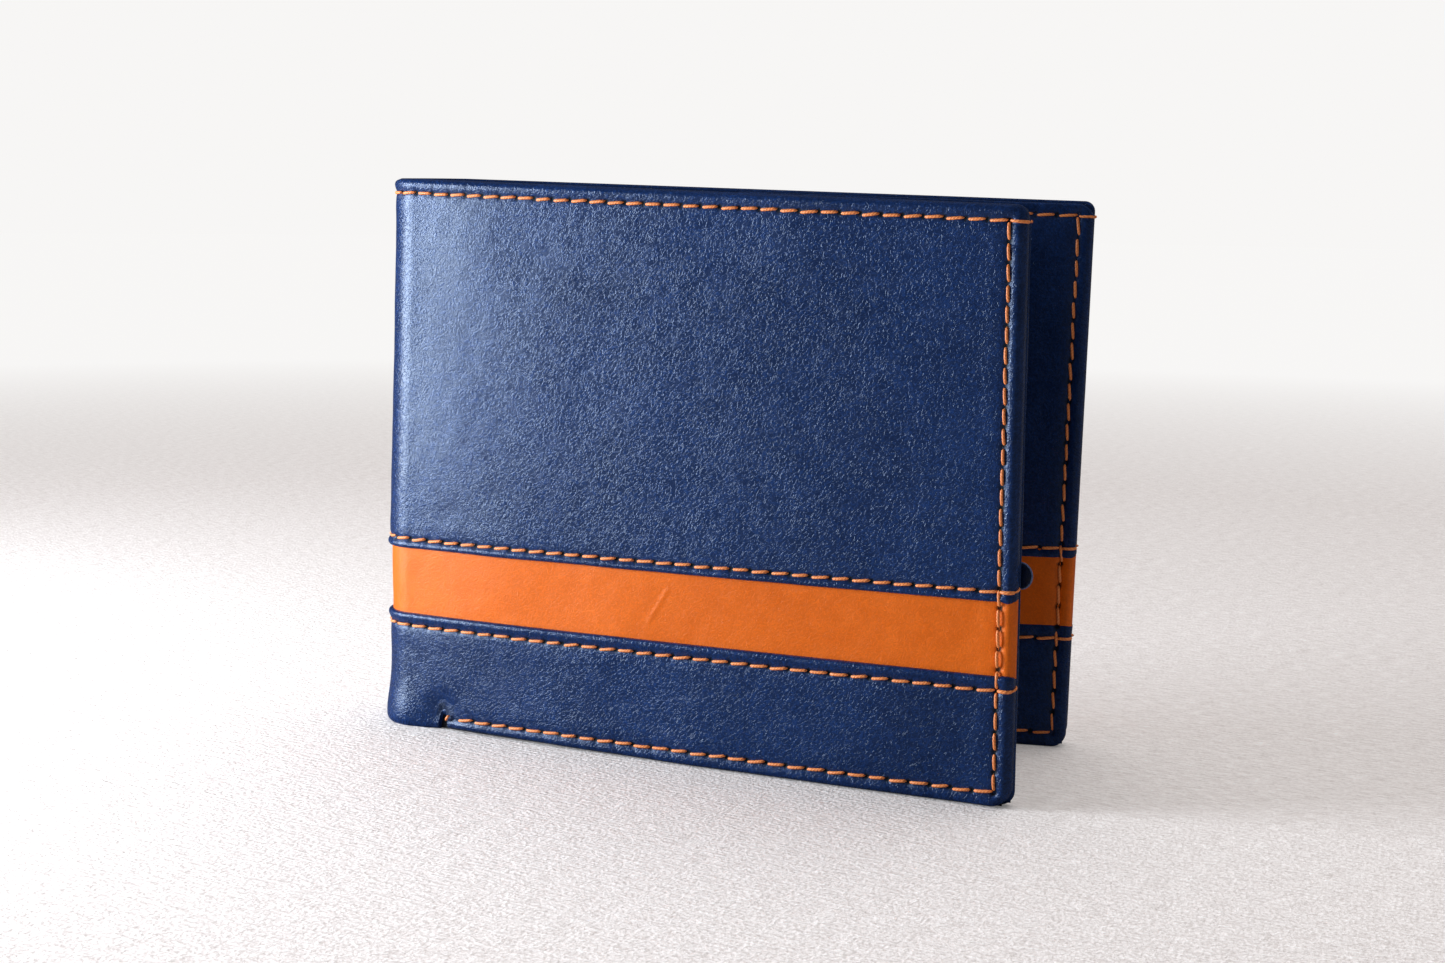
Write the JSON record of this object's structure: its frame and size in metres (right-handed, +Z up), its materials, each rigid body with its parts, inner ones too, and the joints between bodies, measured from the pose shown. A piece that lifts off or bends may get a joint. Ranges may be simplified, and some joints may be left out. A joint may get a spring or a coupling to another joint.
{
  "type": "bifold wallet",
  "caption": "Navy leather bifold wallet with an orange band, standing open in a V; it folds at a soft spine and has a pull strap.",
  "frame": {"origin": "on the floor, in the middle of the wallet's length and width as it stands open", "axes": "+X from the spine to the free edges, +Y from the front leaf to the back leaf, +Z up"},
  "size_m": [0.1174, 0.0456, 0.093],
  "materials": {
    "navy_leather": "satin",
    "orange_leather": "satin",
    "dark_lining": "matte",
    "board": "matte",
    "orange_thread": "satin"
  },
  "bodies": {
    "spine": {"spine_upper_cover": "navy_leather", "spine_band": "orange_leather", "spine_lower_cover": "navy_leather", "spine_lining": "dark_lining", "spine_note_wall": "navy_leather", "spine_thread": "orange_thread"},
    "front_leaf": {"front_upper_cover": "navy_leather", "front_band": "orange_leather", "front_lower_cover": "navy_leather", "front_stiffener": "board", "front_lining": "dark_lining", "front_note_wall": "navy_leather", "front_rear_pocket": "navy_leather", "front_mid_pocket": "navy_leather", "front_inner_upper": "navy_leather", "front_inner_band": "orange_leather", "front_inner_lower": "navy_leather", "front_edge_thread": "orange_thread", "front_seam_thread": "orange_thread", "front_inner_thread": "orange_thread"},
    "back_leaf": {"back_upper_cover": "navy_leather", "back_band": "orange_leather", "back_lower_cover": "navy_leather", "back_stiffener": "board", "back_lining": "dark_lining", "back_note_wall": "navy_leather", "back_rear_pocket": "navy_leather", "back_mid_pocket": "navy_leather", "back_inner_upper": "navy_leather", "back_inner_band": "orange_leather", "back_inner_lower": "navy_leather", "back_edge_thread": "orange_thread", "back_seam_thread": "orange_thread", "back_inner_thread": "orange_thread"},
    "pull": {"pull_strap": "dark_lining", "pull_tab": "navy_leather", "pull_thread": "orange_thread"}
  },
  "joints": [
    {"name": "front_fold", "type": "hinge", "parent": "spine", "child": "front_leaf", "pos_m": [-0.05727, -0.00816, 0], "axis": [0, 0, -1], "range_deg": [-8.9, 83.3]},
    {"name": "back_fold", "type": "hinge", "parent": "spine", "child": "back_leaf", "pos_m": [-0.05727, 0.00816, 0], "axis": [0, 0, 1], "range_deg": [-8.9, 83.3]},
    {"name": "strap_pull", "type": "slide", "parent": "front_leaf", "child": "pull", "axis": [0.9932, -0.1167, 0], "range_m": [0, 0.025]}
  ],
  "couplings": [
    {"joint": "back_fold", "follows": "front_fold", "ratio": 1}
  ]
}
